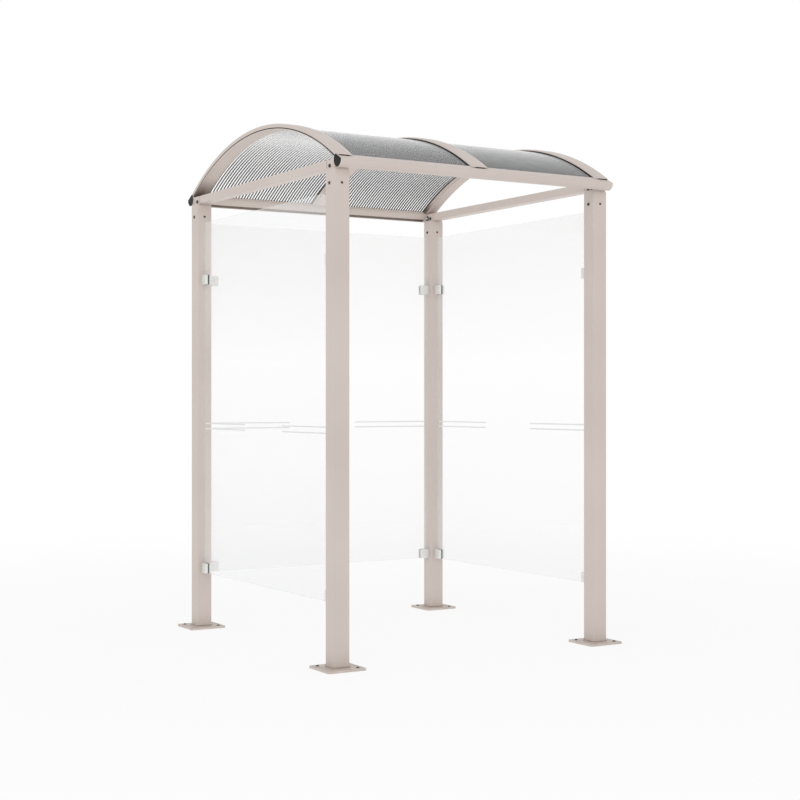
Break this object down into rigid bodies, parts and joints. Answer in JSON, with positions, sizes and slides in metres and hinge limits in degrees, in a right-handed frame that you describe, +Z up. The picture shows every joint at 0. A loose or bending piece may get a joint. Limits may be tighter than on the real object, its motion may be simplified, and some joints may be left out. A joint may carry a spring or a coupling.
{
  "type": "pay station shelter",
  "caption": "Open-fronted shelter with square posts on base plates, clamped clear side and back panels, and a barrel vault roof of fluted sheet between arches.",
  "frame": {"origin": "on the ground, midway between the four posts", "axes": "+X left to right seen from the open front, +Y towards the closed back, +Z up"},
  "size_m": [1.618, 1.662, 2.4868],
  "materials": {
    "frame_paint": "satin powder coat, warm grey beige",
    "black_plastic": "moulded black plastic",
    "black_rubber": "matt black seal",
    "roof_sheet": "clear fluted plastic sheet",
    "panel_glass": "clear toughened glass",
    "clamp_metal": "satin cast metal"
  },
  "bodies": {
    "root": {"front_left_post": "frame_paint", "front_left_base_plate": "frame_paint", "front_left_post_head": "frame_paint", "front_left_tube_cap": "black_plastic", "front_right_post": "frame_paint", "front_right_base_plate": "frame_paint", "front_right_post_head": "frame_paint", "front_right_tube_cap": "black_plastic", "front_eaves_tube": "frame_paint", "back_left_post": "frame_paint", "back_left_base_plate": "frame_paint", "back_left_post_head": "frame_paint", "back_left_tube_cap": "black_plastic", "back_right_post": "frame_paint", "back_right_base_plate": "frame_paint", "back_right_post_head": "frame_paint", "back_right_tube_cap": "black_plastic", "back_eaves_tube": "frame_paint", "left_tie": "frame_paint", "left_roof_sheet": "roof_sheet", "right_tie": "frame_paint", "right_roof_sheet": "roof_sheet", "left_arch": "frame_paint", "left_arch_cover": "frame_paint", "left_arch_seals": "black_rubber", "middle_arch": "frame_paint", "middle_arch_cover": "frame_paint", "middle_arch_seals": "black_rubber", "right_arch": "frame_paint", "right_arch_cover": "frame_paint", "right_arch_seals": "black_rubber", "left_panel": "panel_glass", "left_panel_liners": "black_rubber", "left_panel_front_clamps": "clamp_metal", "left_panel_back_clamps": "clamp_metal", "right_panel": "panel_glass", "right_panel_liners": "black_rubber", "right_panel_front_clamps": "clamp_metal", "right_panel_back_clamps": "clamp_metal", "back_panel": "panel_glass", "back_panel_liners": "black_rubber", "back_panel_left_clamps": "clamp_metal", "back_panel_right_clamps": "clamp_metal"}
  },
  "joints": []
}
